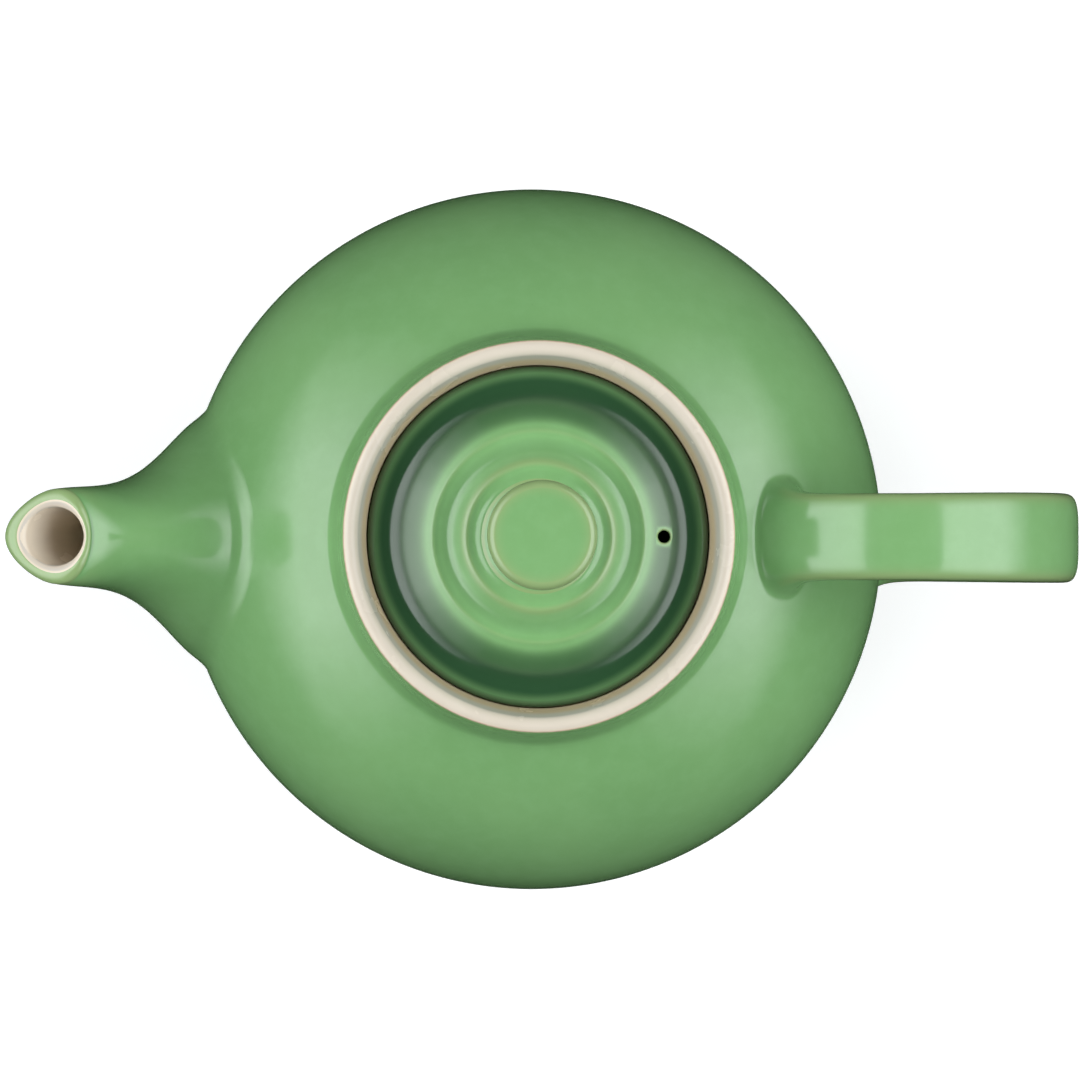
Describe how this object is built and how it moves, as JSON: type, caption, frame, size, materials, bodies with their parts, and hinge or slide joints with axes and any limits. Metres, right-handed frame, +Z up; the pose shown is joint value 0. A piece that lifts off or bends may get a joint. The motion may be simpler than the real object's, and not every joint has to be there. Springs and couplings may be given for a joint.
{
  "type": "teapot",
  "caption": "Round stoneware teapot with curved spout, strap handle, domed relief lid with flat-topped knob, and a steel infuser basket under the lid.",
  "frame": {"origin": "on the pot's axis, in the plane of the table that the foot ring stands on", "axes": "+Z up along the pot's axis, -X towards the spout, +X towards the handle"},
  "size_m": [0.233, 0.156, 0.1371],
  "materials": {
    "green_glaze": "glossy green glaze, thinner and yellower on edges, darker where it pools",
    "cream_glaze": "glossy pale cream glaze",
    "bare_stoneware": "unglazed, fine sandy clay, wiped smooth",
    "lid_green_glaze": "glossy green glaze, deep green in the moat and pale on the relief rings",
    "lid_cream_glaze": "pale cream glaze under the lid, with a bare rubbed edge",
    "stainless_steel": "satin stainless sheet"
  },
  "bodies": {
    "pot": {"pot_body": "green_glaze", "pot_lining": "cream_glaze", "foot_ring": "bare_stoneware", "spout": "green_glaze", "spout_lining": "cream_glaze", "handle": "green_glaze"},
    "infuser": {"infuser_rim": "stainless_steel", "infuser_wall": "stainless_steel", "infuser_base": "stainless_steel", "infuser_seam": "stainless_steel"},
    "lid": {"lid_cap": "lid_green_glaze", "lid_knob": "lid_green_glaze", "lid_skirt": "lid_cream_glaze", "lid_lining": "lid_cream_glaze"}
  },
  "joints": [
    {"name": "infuser_lift", "type": "slide", "parent": "pot", "child": "infuser", "axis": [0, 0, 1], "range_m": [0, 0.095]},
    {"name": "lid_lift", "type": "slide", "parent": "infuser", "child": "lid", "axis": [0, 0, 1], "range_m": [0, 0.06]}
  ]
}
